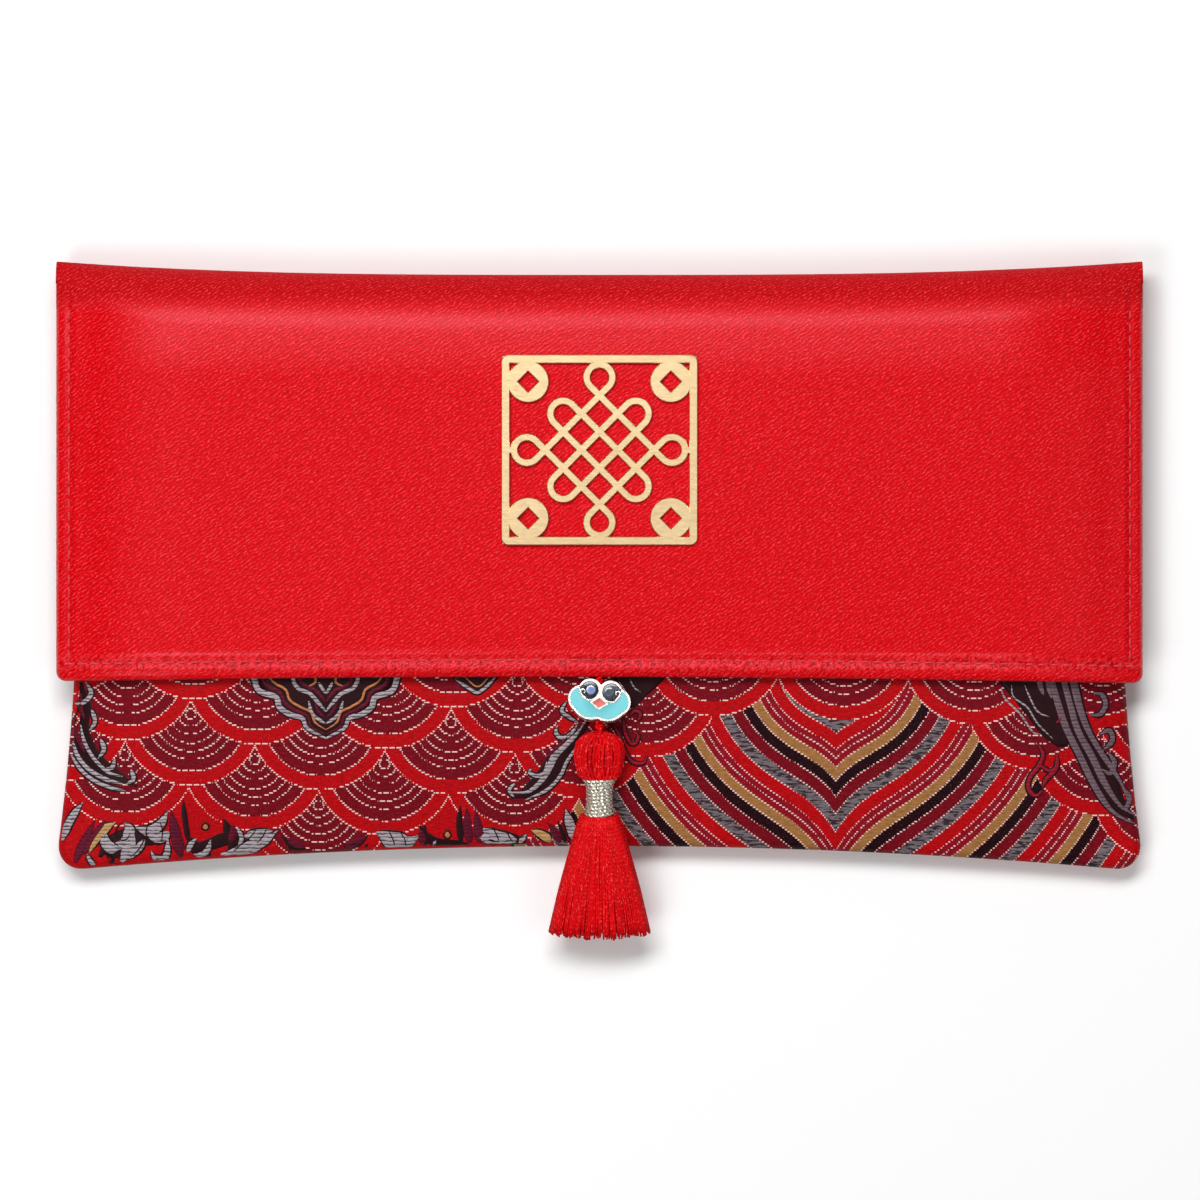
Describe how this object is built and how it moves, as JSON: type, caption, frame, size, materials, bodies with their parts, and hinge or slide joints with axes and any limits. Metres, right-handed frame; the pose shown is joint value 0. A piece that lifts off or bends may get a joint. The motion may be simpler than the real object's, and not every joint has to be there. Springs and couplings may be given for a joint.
{
  "type": "fabric gift envelope",
  "caption": "Padded fabric gift envelope: brocade pouch, satin flap with a pierced metal plaque, and an enamel charm with a tassel on the flap's edge.",
  "frame": {"origin": "middle of the flat on the back panel that the envelope lies on", "axes": "+X across the envelope, +Y up its front towards the fold, +Z out of its front"},
  "size_m": [0.19, 0.1188, 0.0157],
  "materials": {
    "brocade": "woven brocade with raised waves",
    "satin": "satin twill",
    "lining": "plain weave",
    "board": "grey board",
    "magnet": "nickel plated",
    "sewing_thread": "thread",
    "plaque_brass": "polished",
    "glue": "clear film",
    "cord": "twisted cord",
    "charm_metal": "polished",
    "turquoise_enamel": "gloss",
    "blue_enamel": "gloss",
    "coral_enamel": "gloss",
    "tassel_yarn": "loose yarn",
    "metallic_thread": "metallic thread"
  },
  "bodies": {
    "pouch": {"back_panel": "brocade", "back_yoke": "satin", "back_stiffener": "board", "back_lining": "lining", "front_panel": "brocade", "front_stiffener": "board", "front_lining": "lining", "mouth_hem": "brocade", "seam_allowance": "brocade", "pouch_magnet": "magnet", "flap_fold": "satin", "fold_lining": "lining"},
    "flap": {"flap_cover": "satin", "flap_hem": "satin", "flap_stiffener": "board", "flap_lining": "lining", "flap_topstitch": "sewing_thread", "flap_magnet": "magnet", "plaque": "plaque_brass", "plaque_glue": "glue", "hanging_cord": "cord", "charm_body": "charm_metal", "charm_turquoise_enamel": "turquoise_enamel", "charm_blue_enamel": "blue_enamel", "charm_coral_enamel": "coral_enamel"},
    "knot": {"bead_knot": "cord"},
    "tassel": {"tassel_cord": "cord", "tassel_head": "tassel_yarn", "tassel_neck": "tassel_yarn", "tassel_wrap": "metallic_thread", "tassel_skirt": "tassel_yarn"}
  },
  "joints": [
    {"name": "flap_hinge", "type": "hinge", "parent": "pouch", "child": "flap", "pos_m": [0, 0.0515, 0.00707], "axis": [-1, 0, 0], "range_deg": [0, 170], "deforming": ["flap_fold", "fold_lining"]},
    {"name": "tassel_swing", "type": "hinge", "parent": "flap", "child": "knot", "pos_m": [0, -0.0292, 0.01405], "axis": [0, 0, 1], "range_deg": [-25, 25]},
    {"name": "tassel_lift", "type": "hinge", "parent": "knot", "child": "tassel", "pos_m": [0, -0.0292, 0.01405], "axis": [-1, 0, 0], "range_deg": [0, 75]}
  ]
}
